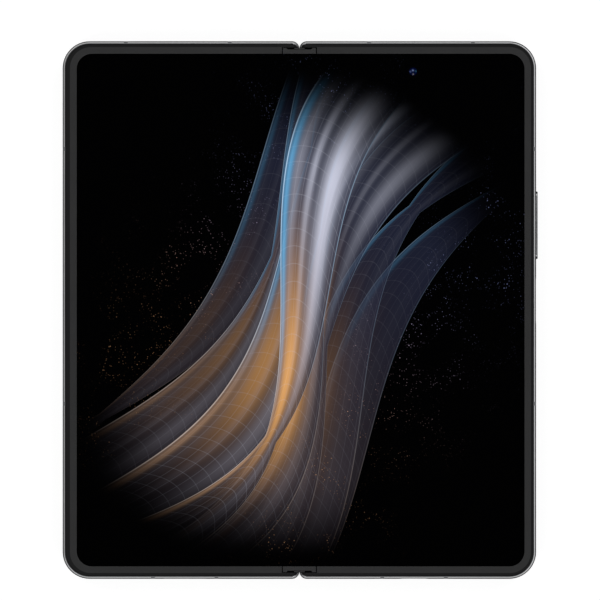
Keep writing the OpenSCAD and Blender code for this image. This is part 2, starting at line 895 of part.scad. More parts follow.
module centre_support() {
  color("#8a8d92") lifted() {
    block([-lifter_half_w, lifter_half_w], [-75, 75], [lifter_z, lifter_z + lifter_t]);
    at_hinges() for (y = [11.1, 6.4, -11.1]) translate([0, y, axis_z + 0.6])
      cylinder(h = lifter_z - axis_z - 0.6, r = 0.3);
  }
}

module idlers(x, phase) {
  at_hinges() translate([x, 0, axis_z])
    gear(idler_axle_r + 0.04, phase, [gear_ys[0] + 0.1, gear_ys[1] - 0.1]);
}

module idler_gears_right() {
  color("#b08d3c") lifted() idlers(axis_x / 3, 180 / gear_teeth);
}

module idler_gears_left() {
  color("#b08d3c") lifted() idlers(-axis_x / 3, 0);
}

module wing_plate_right() {
  color("#9a9da3") lifted() half_wing();
}

module wing_plate_left() {
  color("#9a9da3") lifted() left_side() half_wing();
}

// ---- keys and tray ----

module side_key(y, length, face_x) {
  inner_x = half_w - rail_w;
  key_pill([inner_x - 0.2, face_x - 0.16], y, length, key_h);
  key_pill([face_x - 0.17, face_x], y, length - 0.4, key_h - 0.4);
  key_pill([inner_x - 0.7, inner_x - 0.19], y, length + 2.4, key_h + 0.5);
}

module volume_rocker() {
  color("#54565a") lifted() side_key(rocker_y, rocker_length, half_w + rocker_proud);
}

module power_key() {
  color("#4a4c50") lifted() difference() {
    side_key(power_y, power_length, power_face_x);
    key_pill([power_face_x - 0.25, power_face_x + 1], power_y, power_length - 1.2, key_h - 1.1);
  }
}

module fingerprint_sensor() {
  color("#1a1b1d") lifted()
    key_pill([power_face_x - 0.25, power_face_x - 0.05], power_y, power_length - 1.24, key_h - 1.14);
}

module sim_tray() {
  color("#5b5d61") lifted() left_side() {
    port_pill([0.08 - half_h, 1.7 - half_h], tray_w, 2);
    difference() {
      block([port_x - 6.1, port_x + 6.1], [1.69 - half_h, -60], [2.8, 3.8]);
      for (y = [-75.6, -67.6]) block([port_x - 4.4, port_x + 4.4], [y, y + 6.8], [3.3, 4]);
    }
  }
}

right_frame();
right_antenna_bands();
right_bezel();
display_right();
display_backplate_right();
rear_cover();
camera_island();
camera_rings();
camera_lenses();
camera_modules();
flash_window();
main_board();
shield_cans();
battery_right();
usb_shell();
usb_tongue();
speaker_bottom();
vibration_motor();
inner_camera();
inner_camera_window();
key_switches();
magnets_right();
board_screws();
right_hinge_arms();
right_arm_screws();
left_frame();
left_antenna_bands();
left_bezel();
display_left();
display_backplate_left();
cover_glass();
cover_display();
cover_camera();
battery_left();
sub_board();
earpiece();
sim_reader();
magnets_left();
sub_board_screws();
left_hinge_arms();
left_arm_screws();
hinge_spine();
hinge_brackets();
hinge_shafts();
idler_axles();
torque_cams();
torque_springs();
display_bend();
trim_cap_top();
trim_cap_bottom();
hinge_flex_cables();
centre_support();
idler_gears_right();
idler_gears_left();
wing_plate_right();
wing_plate_left();
volume_rocker();
power_key();
fingerprint_sensor();
sim_tray();
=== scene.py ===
"""Looks of the foldable smartphone, lying open on its back."""
import json
import math

import bmesh
import bpy
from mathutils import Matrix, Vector
from mathutils.geometry import tessellate_polygon

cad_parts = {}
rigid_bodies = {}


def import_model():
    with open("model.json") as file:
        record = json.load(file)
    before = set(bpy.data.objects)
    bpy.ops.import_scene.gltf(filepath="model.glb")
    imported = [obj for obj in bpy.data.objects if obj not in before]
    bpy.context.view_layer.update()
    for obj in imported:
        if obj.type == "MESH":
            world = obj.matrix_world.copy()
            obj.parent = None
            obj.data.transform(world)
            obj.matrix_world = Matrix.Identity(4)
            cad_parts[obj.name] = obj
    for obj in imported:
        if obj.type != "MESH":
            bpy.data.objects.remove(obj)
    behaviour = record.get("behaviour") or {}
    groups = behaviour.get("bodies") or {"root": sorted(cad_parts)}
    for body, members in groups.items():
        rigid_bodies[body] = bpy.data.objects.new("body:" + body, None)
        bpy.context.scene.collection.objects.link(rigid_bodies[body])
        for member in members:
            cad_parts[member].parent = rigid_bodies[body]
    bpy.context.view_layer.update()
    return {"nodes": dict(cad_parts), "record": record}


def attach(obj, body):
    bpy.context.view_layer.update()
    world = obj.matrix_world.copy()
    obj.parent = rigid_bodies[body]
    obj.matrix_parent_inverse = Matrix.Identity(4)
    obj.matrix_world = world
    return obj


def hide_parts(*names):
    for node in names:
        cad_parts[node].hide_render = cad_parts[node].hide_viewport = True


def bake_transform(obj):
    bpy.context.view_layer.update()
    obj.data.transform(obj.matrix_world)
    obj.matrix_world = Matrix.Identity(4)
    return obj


# The objects of the factory scene go before anything is loaded
for leftover in list(bpy.data.objects):
    bpy.data.objects.remove(leftover)
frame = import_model()
nodes = frame["nodes"]

MM = 0.001

# Heights above the origin, in mm; the camera rings stand below the backs of the halves
BACK = 1.8
LEDGE = BACK + 6.2
RIM_LOW = BACK + 6.22
SCREEN_TOP = BACK + 6.45
PANEL_BOTTOM = BACK + 5.6
BEZEL_TOP = BACK + 6.9
WINDOW_TOP = SCREEN_TOP - 0.025
CABLE_Z = (BACK + 3.60, BACK + 3.72)

# Fold axis of the right half, and the path of the rail's end round it
AXIS_X = 3.8
AXIS_Z = BACK + 3.35
SWING_R = 3.72

# Plan of the phone, in mm
HALF_W = 70.2
HALF_H = 79.7
CORNER_R = 8.0
NOTCH_AT = (2.13, 77.65)
NOTCH_REACH = (1.63, 1.23)
RIM_W = 0.8
FIT = 0.02
BAY_H = 77.8
SCREEN_W = 132.7
SCREEN_H = 151.9
SCREEN_SHIFT = 0.36
SCREEN_R = 4.5
PANEL_HIDE = 1.1
PANEL_R = SCREEN_R + PANEL_HIDE
BEND_REACH = 9.0
SLIT_OUT = 5.19
SLIT_IN = 4.89
CAMERA_AT = (33.7, 70.67)
CAMERA_HOLE_R = 1.9
SLOPE_RIGHT = 0.76
SLOPE_LEFT = 1.36
SLOPE_END = 0.95
CAP_EDGE = 77.25
EAR_W = 0.45
EAR_X = 3.55
TONGUE_X = 1.6
GROOVE_W = 0.12
CABLE_YS = (-20.0, 20.0)
CABLE_HALF = 6
ISLAND_X = 53.0
LENS_YS = (66.0, 52.5, 39.0)
FLASH_Y = 27.5

# Keys on the right edge, in mm
KEY_H = 2.6
KEY_Z = BACK + 3.3
ROCKER_FACE = HALF_W + 0.44
POWER_FACE = HALF_W - 0.12
ROCKER_Y = 25.16
POWER_Y = 2.9
ROCKER_L = 20.0
POWER_L = 13.8
SENSOR_L = 12.56
SENSOR_H = 1.46
FLANGE_XS = (67.6, 68.11)

KEY_COLOUR = (0.20, 0.202, 0.208)
KEY_ROUGHNESS = 0.44
METAL_GRAIN = 0.004

# Light round the phone: strengths of the room and the floor, where 1 is white, and the softboxes
ROOM_ABOVE = 0.33
ROOM_BELOW = 0.90
FLOOR_TONE = 0.26
FLOOR_GLOW = 0.84
SOFTBOX_WATTS = 5.6
SOFTBOX_ELEVATION = 42
SOFTBOX_DISTANCE = 1.5
SOFTBOX_SIZE = (1.0, 0.6)

# Camera: width of the picture at the phone, and the place that it looks at, in metres
SEEN_WIDTH = 0.1778
AIM = (0.00018, 0.00298, 0.0083)


# ---- shader expressions ----

class Value:
    """An output of a node tree that takes part in sums, products and comparisons."""

    def __init__(self, tree, socket):
        self.tree = tree
        self.socket = socket

    def _math(self, operation, *others):
        made = self.tree.nodes.new("ShaderNodeMath")
        made.operation = operation
        for place, value in enumerate((self, *others)):
            if isinstance(value, Value):
                self.tree.links.new(value.socket, made.inputs[place])
            else:
                made.inputs[place].default_value = value
        return Value(self.tree, made.outputs[0])

    def __add__(self, other):
        return self._math("ADD", other)

    __radd__ = __add__

    def __mul__(self, other):
        return self._math("MULTIPLY", other)

    __rmul__ = __mul__

    def __sub__(self, other):
        return self._math("SUBTRACT", other)

    def __rsub__(self, left):
        made = self.tree.nodes.new("ShaderNodeMath")
        made.operation = "SUBTRACT"
        made.inputs[0].default_value = left
        self.tree.links.new(self.socket, made.inputs[1])
        return Value(self.tree, made.outputs[0])

    def __truediv__(self, other):
        return self._math("DIVIDE", other)

    def sine(self):
        return self._math("SINE")

    def size(self):
        return self._math("ABSOLUTE")

    def part(self):
        return self._math("FRACT")

    def root(self):
        return self._math("SQRT")

    def most(self, other):
        return self._math("MAXIMUM", other)

    def above(self, limit):
        return self._math("GREATER_THAN", limit)

    def below(self, limit):
        return self._math("LESS_THAN", limit)

    def bell(self, centre, width):
        """A smooth hump of height 1 round centre."""
        away = (self - centre) / width
        return (away * away * -1.0)._math("EXPONENT")

    def ramp(self, low, high, to_low=0.0, to_high=1.0):
        """Runs smoothly from to_low at low to to_high at high, and stays there."""
        made = self.tree.nodes.new("ShaderNodeMapRange")
        made.interpolation_type = "SMOOTHSTEP"
        limits = {"From Min": low, "From Max": high, "To Min": to_low, "To Max": to_high}
        for name, number in limits.items():
            made.inputs[name].default_value = number
        self.tree.links.new(self.socket, made.inputs["Value"])
        return Value(self.tree, made.outputs[0])


class Surface:
    """A material with its node tree, its shader and a few texture helpers."""

    def __init__(self, name, colour, roughness, **fixed):
        self.material = bpy.data.materials.new(name)
        self.material.use_nodes = True
        self.tree = self.material.node_tree
        self.shader = next(n for n in self.tree.nodes if n.type == "BSDF_PRINCIPLED")
        self.fix("Base Color", (*colour, 1.0))
        self.fix("Roughness", roughness)
        for socket, number in fixed.items():
            self.fix(socket.replace("_", " "), number)
        self.material.diffuse_color = (*colour, 1.0)
        self.place = self.output("ShaderNodeTexCoord", "Object")

    def fix(self, socket, number):
        self.shader.inputs[socket].default_value = number

    def output(self, kind, name, **inputs):
        made = self.tree.nodes.new(kind)
        for socket, value in inputs.items():
            self.feed(made.inputs[socket.replace("_", " ")], value)
        return Value(self.tree, made.outputs[name])

    def feed(self, socket, value):
        if isinstance(value, Value):
            self.tree.links.new(value.socket, socket)
        else:
            socket.default_value = value

    def axis(self, letter, vector=None):
        """One coordinate in mm of the place in the row frame, or of another vector as it is."""
        split = self.output("ShaderNodeSeparateXYZ", letter, Vector=vector or self.place)
        return split if vector else split * 1000.0

    def stretched(self, x, y, z):
        """The place with each axis scaled by itself, so that noise becomes streaks."""
        made = self.tree.nodes.new("ShaderNodeMapping")
        made.inputs["Scale"].default_value = (x, y, z)
        self.tree.links.new(self.place.socket, made.inputs["Vector"])
        return Value(self.tree, made.outputs[0])

    def noise(self, scale, detail=3.0, vector=None):
        return self.output(
            "ShaderNodeTexNoise", "Fac", Vector=vector or self.place, Scale=scale, Detail=detail
        )

    def cells(self, scale, vector=None):
        return self.output("ShaderNodeTexVoronoi", "Distance", Vector=vector or self.place, Scale=scale)

    def blend(self, low, high, share):
        """The colour low where share is 0 and high where it is 1."""
        made = self.tree.nodes.new("ShaderNodeMix")
        made.data_type = "RGBA"
        for place, value in ((0, share), (6, low), (7, high)):
            if isinstance(value, Value):
                self.tree.links.new(value.socket, made.inputs[place])
            else:
                made.inputs[place].default_value = (*value, 1.0) if place else value
        return Value(self.tree, made.outputs[2])

    def paint(self, low, high, share):
        self.feed(self.shader.inputs["Base Color"], self.blend(low, high, share))
        return self

    def rough(self, value):
        self.feed(self.shader.inputs["Roughness"], value)
        return self

    def relief(self, height, depth):
        """Bumps of the given depth in mm."""
        made = self.tree.nodes.new("ShaderNodeBump")
        made.inputs["Strength"].default_value = 1.0
        made.inputs["Distance"].default_value = depth * MM
        self.tree.links.new(height.socket, made.inputs["Height"])
        self.tree.links.new(made.outputs[0], self.shader.inputs["Normal"])
        return self


def tinted(colour, factor):
    return tuple(min(1.0, channel * factor) for channel in colour)


def metal(name, colour, roughness, streak=(1, 1, 1), scale=900.0):
    """Machined or anodised metal: fine grain, a faint cloud of wear and a changing gloss."""
    made = Surface(name, colour, roughness, Metallic=1.0)
    grain = made.noise(scale, 4.0, made.stretched(*streak))
    cloud = made.noise(70.0, 3.0)
    made.paint(tinted(colour, 0.86), tinted(colour, 1.14), grain * 0.65 + cloud * 0.35)
    made.rough(grain * 0.16 + cloud * 0.12 + (roughness - 0.14))
    return made.relief(grain, METAL_GRAIN)


def rail_surface():
    """Bead-blasted dark metal, with a paler cut edge round the top of the rail whose tone is also a painted
    highlight, and a painted highlight round the notch.
    """
    grey = (0.5, 0.5, 0.5, 1.0)
    made = Surface("frame_metal", (0.12, 0.122, 0.127), 0.38, Metallic=1.0, Specular_Tint=grey)
    grain = made.noise(1300.0, 4.0, made.stretched(1.0, 1.0, 5.0))
    cloud = made.noise(70.0, 3.0)
    blasted = made.blend((0.100, 0.102, 0.107), (0.135, 0.137, 0.143), grain * 0.65 + cloud * 0.35)
    cut = made.blend((0.54, 0.542, 0.55), (0.66, 0.662, 0.67), cloud)
    height = made.axis("Z")
    x = made.axis("X").size()
    y = made.axis("Y").size()
    from_x, from_y = x - NOTCH_AT[0], y - NOTCH_AT[1]
    away = (from_x * from_x + from_y * from_y).root()
    # Painted highlight: the pale band carried round the notch's curve, where the facing rail ends would
    # mirror each other dark.
    notch = x.ramp(NOTCH_AT[0] - 0.28, NOTCH_AT[0] + 0.02, 1.0, 0.0)
    notch = notch * y.ramp(NOTCH_AT[1] + 0.15, NOTCH_AT[1] + 0.4)
    notch_highlight = notch * away.ramp(1.10, 1.25) * away.ramp(1.72, 1.86, 1.0, 0.0)
    # The rim's land: paler cut metal, whose pale tone also stands in as a painted highlight.
    land_cut_and_highlight = height.ramp(RIM_LOW, RIM_LOW + 0.05) * height.ramp(RIM_LOW + 0.20, RIM_LOW + 0.33, 1.0, 0.15)
    edge = land_cut_and_highlight.most(notch_highlight)
    # edge joins both masks: the cut land with its painted highlight, and the painted highlight round the
    # notch.
    made.paint(blasted, cut, edge)
    made.rough(grain * 0.14 + cloud * 0.10 + 0.26 - edge * 0.06 + notch_highlight * 0.30)
    return made.relief(grain, METAL_GRAIN)


def plastic(name, colour, roughness, scale=2200.0, depth=0.010, gloss=0.5):
    """Moulded plastic: a fine spark-eroded grain with slightly uneven colour."""
    made = Surface(name, colour, roughness, Specular_IOR_Level=gloss)
    grain = made.noise(scale, 2.0)
    cloud = made.noise(90.0, 3.0)
    made.paint(tinted(colour, 0.84), tinted(colour, 1.18), grain * 0.4 + cloud * 0.6)
    made.rough(grain * 0.14 + (roughness - 0.07))
    return made.relief(grain, depth)


def glass_sheet(name, colour, roughness, haze):
    """Tinted glass seen as an opaque sheet, with faint smears on its gloss."""
    made = Surface(name, colour, roughness, Coat_Weight=1.0, Coat_Roughness=0.04, Specular_IOR_Level=0.05)
    smear = made.noise(38.0, 5.0, made.stretched(1.0, 2.6, 1.0))
    made.paint(tinted(colour, 0.8), tinted(colour, 1.25), smear)
    made.rough(smear * haze + roughness)
    return made


# ---- materials ----

# Ribbons of the wallpaper from back to front: centre, swing, phase, half width, place of the twist,
# opacity, strength of the sheen and of the edges
RIBBONS = (
    (-33, 13, 0.80, 9, 70, 0.55, 0.05, 0.20),
    (31, 12, -1.15, 8, -60, 0.55, 0.06, 0.22),
    (-24, 15, 0.55, 12, 44, 0.62, 0.14, 0.30),
    (23, 14, -0.85, 10, 8, 0.62, 0.22, 0.40),
    (-13, 17, 0.25, 12, -4, 0.72, 0.50, 0.45),
    (12, 18, -0.50, 11, 40, 0.72, 0.55, 0.70),
    (-4, 19, -0.02, 9, 22, 0.78, 0.85, 0.60),
    (4, 20, -0.22, 12, -36, 0.84, 1.00, 1.00),
)


def ribbon(along, across, shape):
    """Cover, colour and shine of one strip of thin glass with fine lines woven into it."""
    centre, swing, phase, half, twist, opacity, sheen, edge = shape
    middle = (along / 33.0 + phase).sine() * swing + centre
    width = ((along - twist) / 58.0).sine().size() * (half * 0.84) + half * 0.16
    side = (across - middle) / width
    inside = side.size().ramp(0.97, 1.0, 1, 0)
    bands = side.bell(-0.42, 0.26) + side.bell(0.18, 0.10) * 0.5 + side.bell(0.62, 0.16) * 0.3
    shine = (bands + 0.05) * ((along + centre * 3.0) / 41.0).sine().ramp(-1.0, 0.9, 0.16, 1.0) * sheen
    rows = ((side * 4.0).part() - 0.5).bell(0, 0.028)
    columns = (((along + side * side * 5.0) / 4.4).part() - 0.5).bell(0, 0.022)
    lines = (rows + columns) * (edge * 0.16)
    glint = side.bell(0.975, 0.020) * edge + side.bell(-0.975, 0.014) * (edge * 0.4)
    return side, inside, opacity, shine, lines, glint


def wallpaper(surface):
    """Light of the inner screen: a loose bundle of thin glass ribbons on black, with dust beside it."""
    uv = surface.output("ShaderNodeUVMap", "UV")
    x = (surface.axis("X", uv) - 0.5) * SCREEN_W
    y = (surface.axis("Y", uv) - 0.5) * SCREEN_H
    turn = math.radians(54)
    along = x * math.cos(turn) + y * math.sin(turn)
    across = y * math.cos(turn) - x * math.sin(turn)
    ends = along.ramp(-80, -46) * along.ramp(34, 70, 1, 0) * y.ramp(-74, -46) * y.ramp(42, 72, 1, 0)
    ends = ends * x.ramp(-65, -38) * x.ramp(36, 62, 1, 0)
    high = along.ramp(-34, 42)
    silver = surface.blend((0.36, 0.34, 0.40), (0.66, 0.68, 0.82), high)
    smoke = surface.blend((0.030, 0.024, 0.030), (0.018, 0.022, 0.048), high)
    rim = surface.blend((0.62, 0.36, 0.20), (0.16, 0.58, 1.0), along.ramp(-38, 14))
    warm = along.bell(-18, 24)
    picture = (0.0, 0.0, 0.0)
    for shape in RIBBONS:
        side, inside, opacity, shine, lines, glint = ribbon(along, across, shape)
        sheen, edge = shape[-2:]
        amber = warm * side.bell(0.35, 0.42) * sheen
        glass = surface.blend(smoke, silver, shine)
        glass = surface.blend(glass, (0.95, 0.46, 0.13), amber * 0.85)
        glass = surface.blend(glass, (0.72, 0.74, 0.86), lines)
        glass = surface.blend(glass, rim, side.bell(0.86, 0.10) * (edge * 0.62))
        picture = surface.blend(picture, glass, inside * opacity)
        picture = surface.blend(picture, surface.blend(rim, (0.95, 0.97, 1.0), 0.45), glint * inside * 0.9)
    dust_place = surface.output("ShaderNodeCombineXYZ", "Vector", X=x, Y=y)
    fine = surface.cells(1.35, vector=dust_place).ramp(0.06, 0.20, 1, 0)
    coarse = surface.cells(0.55, vector=dust_place).ramp(0.03, 0.11, 1, 0)
    drift = surface.noise(0.085, 5.0, dust_place).ramp(0.44, 0.66)
    beside = across.bell(30, 16) + across.bell(-34, 17)
    dust = (fine * 0.5 + coarse) * drift * beside * along.ramp(-80, -34) * along.ramp(36, 80, 1, 0.1)
    spark = surface.blend((0.85, 0.45, 0.22), (0.40, 0.46, 0.86), high)
    lit = surface.blend((0.0, 0.0, 0.0), picture, ends)
    return surface.blend(lit, spark, dust * 0.55)


def lit_screen():
    made = Surface("inner_screen", (0.0004, 0.0004, 0.0005), 0.10, IOR=1.45)
    made.feed(made.shader.inputs["Emission Color"], wallpaper(made))
    made.fix("Emission Strength", 1.0)
    made.rough(made.noise(55.0, 5.0) * 0.05 + 0.075)
    return made


def board_surface():
    """Solder mask with pads and traces."""
    made = Surface("board", (0.02, 0.12, 0.06), 0.38)
    pads = made.cells(420.0).ramp(0.16, 0.2, 1, 0)
    traces = ((made.axis("X") * 1.4 + made.noise(160.0, 1.0) * 1.5).part() - 0.5).bell(0, 0.12)
    made.paint((0.02, 0.12, 0.06), (0.55, 0.38, 0.12), pads)
    return made.relief(traces, 0.02)


def wrap_surface():
    """Battery foil with soft creases."""
    made = Surface("battery_wrap", (0.03, 0.033, 0.04), 0.42)
    creases = made.noise(150.0, 5.0, made.stretched(1.0, 0.35, 1.0))
    made.paint((0.022, 0.024, 0.03), (0.05, 0.054, 0.062), creases)
    made.rough(creases * 0.25 + 0.3)
    return made.relief(creases, 0.08)


def flash_surface():
    """Lens of the flash: rings round a yellow middle."""
    made = Surface("flash_plastic", (0.85, 0.78, 0.58), 0.22, Coat_Weight=0.6)
    x = made.axis("X") - ISLAND_X
    y = made.axis("Y") - FLASH_Y
    away = (x * x + y * y).root()
    made.paint((0.92, 0.70, 0.22), (0.80, 0.79, 0.74), away.ramp(0.7, 1.5))
    return made.relief((away * 3.2).part(), 0.05)


def lens_surface():
    """Coated glass of a lens, violet in the middle and blue green towards its edge."""
    made = Surface("lens_coating", (0.01, 0.012, 0.03), 0.05, Coat_Weight=1.0, Coat_Roughness=0.02)
    facing = made.output("ShaderNodeLayerWeight", "Facing", Blend=0.35)
    made.paint((0.035, 0.018, 0.10), (0.004, 0.045, 0.06), facing)
    made.rough(made.noise(400.0) * 0.04 + 0.03)
    return made


def rocker_surface():
    """Key metal with a paler cut flank, and painted shade where the ends of the rocker turn into their
    slot.
    """
    made = metal("rocker_metal", KEY_COLOUR, KEY_ROUGHNESS, (1.0, 1.0, 4.0), 600.0)
    base = made.shader.inputs["Base Color"]
    flank = made.axis("X").ramp(ROCKER_FACE - 0.30, ROCKER_FACE - 0.12, 1.0, 0.0)
    # Painted shade: the rocker's ends go near black, as if in the shadow of their slot.
    ends = (made.axis("Y") - ROCKER_Y).size().ramp(ROCKER_L / 2 - 0.9, ROCKER_L / 2 - 0.5)
    tone = made.blend(Value(made.tree, base.links[0].from_socket), (0.36, 0.362, 0.37), flank)
    made.feed(base, made.blend(tone, (0.015, 0.015, 0.017), ends))
    return made


def selfie_surface():
    """The small inner lens: deep blue, with a painted pale glint and painted reflections on its coating."""
    made = Surface("inner_lens", (0.002, 0.004, 0.03), 0.06, Coat_Weight=1.0, Coat_Roughness=0.03)
    x = made.axis("X") - CAMERA_AT[0]
    y = made.axis("Y") - CAMERA_AT[1]
    picture = (0.0006, 0.0022, 0.024)
    # Painted reflections: a pale glint at the top, blue crescents at the left and right and a grey spot at
    # the bottom.
    for centre_x, centre_y, width, colour in (
        (-0.06, 0.34, 0.25, (0.15, 0.20, 0.38)), (-0.80, 0.0, 0.26, (0.050, 0.070, 0.17)),
        (0.80, 0.12, 0.26, (0.018, 0.060, 0.105)), (0.0, -0.78, 0.22, (0.15, 0.14, 0.15)),
    ):
        picture = made.blend(picture, colour, x.bell(centre_x, width) * y.bell(centre_y, width))
    made.feed(made.shader.inputs["Base Color"], picture)
    made.rough(made.noise(500.0) * 0.04 + 0.04)
    return made


def window_surface():
    """Clear cover glass over a camera, with a faint coating."""
    made = Surface("lens_window", (0.86, 0.90, 0.96), 0.03, Transmission_Weight=1.0, IOR=1.45)
    made.rough(made.noise(120.0, 4.0) * 0.03 + 0.01)
    return made


SURFACES = {
    "frame_metal": rail_surface(),
    "band_plastic": plastic("band_plastic", (0.135, 0.137, 0.142), 0.45),
    "bezel_plastic": plastic("bezel_plastic", (0.0215, 0.0215, 0.0220), 0.62, 2600.0, 0.006, 0.2),
    "screen_film": glass_sheet("screen_film", (0.0006, 0.0006, 0.0008), 0.10, 0.06),
    "plate_steel": metal("plate_steel", (0.42, 0.43, 0.45), 0.38, (1.0, 9.0, 1.0)),
    "back_glass": glass_sheet("back_glass", (0.014, 0.014, 0.017), 0.30, 0.10),
    "cover_glass": glass_sheet("cover_glass", (0.004, 0.004, 0.006), 0.06, 0.05),
    "island_metal": metal("island_metal", (0.045, 0.046, 0.051), 0.40),
    "ring_metal": metal("ring_metal", (0.20, 0.21, 0.22), 0.24),
    "lens_glass": glass_sheet("lens_glass", (0.008, 0.010, 0.018), 0.05, 0.03),
    "black_plastic": plastic("black_plastic", (0.015, 0.015, 0.017), 0.5),
    "flash_plastic": flash_surface(),
    "board": board_surface(),
    "can_steel": metal("can_steel", (0.45, 0.46, 0.48), 0.34),
    "battery_wrap": wrap_surface(),
    "contact_gold": metal("contact_gold", (0.60, 0.42, 0.12), 0.30),
    "magnet_nickel": metal("magnet_nickel", (0.55, 0.55, 0.56), 0.22),
    "screw_steel": metal("screw_steel", (0.55, 0.56, 0.58), 0.28),
    "hinge_steel": metal("hinge_steel", (0.30, 0.31, 0.33), 0.36),
    "gear_metal": metal("gear_metal", (0.50, 0.36, 0.12), 0.32),
    "spine_metal": metal("spine_metal", (0.15, 0.152, 0.160), 0.36, (1.0, 6.0, 1.0)),
    "flex_film": glass_sheet("flex_film", (0.35, 0.14, 0.03), 0.28, 0.10),
    "key_metal": metal("key_metal", KEY_COLOUR, KEY_ROUGHNESS, (1.0, 1.0, 4.0), 600.0),
    "sensor_glass": glass_sheet("sensor_glass", (0.012, 0.012, 0.014), 0.14, 0.05),
}
# The bezel's plastic, made darker on its outward slope as painted shade.
SHADED_SLOPE = plastic("bezel_slope_shaded", (0.0072, 0.0072, 0.0076), 0.66, 2600.0, 0.006, 0.12)
CAP = plastic("trim_cap_plastic", (0.0250, 0.0250, 0.0258), 0.64, 2400.0, 0.008, 0.2)
LIT = lit_screen()
ROCKER = rocker_surface()
LENS = lens_surface()
SELFIE = selfie_surface()
WINDOW = window_surface()

for entry in frame["record"]["subparts"]:
    nodes[entry["node"]].data.materials[0] = SURFACES[entry["material_slot"]].material


# ---- meshes, with their places in mm ----

def build(name, points, faces, surfaces, slots=None, crease=38.0):
    """An object that is smooth where it turns by less than crease in degrees."""
    mesh = bpy.data.meshes.new(name)
    mesh.from_pydata([(x * MM, y * MM, z * MM) for x, y, z in points], [], faces)
    for surface in surfaces:
        mesh.materials.append(surface.material)
    if slots:
        mesh.polygons.foreach_set("material_index", slots)
    shape = bmesh.new()
    shape.from_mesh(mesh)
    bmesh.ops.remove_doubles(shape, verts=shape.verts, dist=0.0005 * MM)
    bmesh.ops.recalc_face_normals(shape, faces=shape.faces)
    shape.to_mesh(mesh)
    shape.free()
    mesh.polygons.foreach_set("use_smooth", [True] * len(mesh.polygons))
    mesh.set_sharp_from_angle(angle=math.radians(crease))
    made = bpy.data.objects.new(name, mesh)
    bpy.context.scene.collection.objects.link(made)
    return made


def strip(first, count, start, closed=False):
    """Quads between a row of count points from first and the next row from start."""
    last = count if closed else count - 1
    return [(first + i, first + (i + 1) % count, start + (i + 1) % count, start + i) for i in range(last)]


def loft(rows, closed=False):
    """Points and faces of a skin over rows, which all have the same number of points."""
    count = len(rows[0])
    points = [point for row in rows for point in row]
    faces = []
    for place in range(len(rows) - 1):
        faces += strip(place * count, count, (place + 1) * count, closed)
    return points, faces


def on_side(points, side):
    """The points of the right half, mirrored where side is -1."""
    return [(side * x, y, z) for x, y, z in points]


def joined(*shapes):
    """One list each of points, faces and slots from shapes with a slot or a list of slots."""
    points, faces, slots = [], [], []
    for shape_points, shape_faces, slot in shapes:
        shift = len(points)
        points += shape_points
        faces += [tuple(index + shift for index in face) for face in shape_faces]
        slots += slot if isinstance(slot, list) else [slot] * len(shape_faces)
    return points, faces, slots


def end_caps(rows):
    """One face over the first row and one over the last."""
    count = len(rows[0])
    start = (len(rows) - 1) * count
    return [tuple(range(count)), tuple(range(start, start + count))]


def rail_outline(x_start, x_out, y_out, r, z, steps=14):
    """Along the top edge, round both corners and back along the bottom edge."""
    row = [(x_start, y_out, z)]
    for i in range(steps + 1):
        angle = math.pi / 2 * (1 - i / steps)
        row.append((x_out - r + r * math.cos(angle), y_out - r + r * math.sin(angle), z))
    return row + [(x, -y, z) for x, y, z in reversed(row)]


def mix(a, b, share):
    """The tuple a where share is 0 and b where it is 1."""
    return tuple(one + (other - one) * share for one, other in zip(a, b))


def swing_top(x, z, r):
    """z, kept under the round path of radius r that the half takes as the phone shuts."""
    away = max(0.0, AXIS_X - x)
    return min(z, AXIS_Z + math.sqrt(r ** 2 - away ** 2))


def bezel_tip(sign):
    """Thin end of the bezel between slit and notch, which drops over the rounded end of the rail."""
    rows = []
    centre_x, centre_y = NOTCH_AT
    for x in (SLIT_OUT, 4.6, 4.1, 3.7, 3.3, 2.9, 2.5, 2.13, 1.8, 1.5, 1.25, 1.05, 0.9, 0.8, 0.72):
        turn = max(0.0, (centre_x - x) / NOTCH_REACH[0])
        y_out = centre_y + NOTCH_REACH[1] * math.sqrt(1.0 - turn ** 2)
        skin = SWING_R + 0.04 * min(1.0, turn * 3.0)
        y_top = max(min(BAY_H + 0.15, y_out - 0.06), BAY_H + 0.05)
        crest = swing_top(x, BEZEL_TOP, skin)
        floor = min(LEDGE, crest - 0.2)
        section = (
            (y_out, floor), (y_out, min(crest, LEDGE + 0.24)),
            (y_top + 0.05, min(crest, BEZEL_TOP - 0.06)), (y_top, min(crest, BEZEL_TOP - 0.02)),
            (BAY_H + 0.04, crest), (BAY_H, min(crest, BEZEL_TOP - 0.04)), (BAY_H, floor),
        )
        rows.append([(x, sign * y, z) for y, z in section])
    points, faces = loft(rows, closed=True)
    # The whole tip takes slot 0, the copy of the plastic darkened as painted shade.
    return points, faces + end_caps(rows), 0


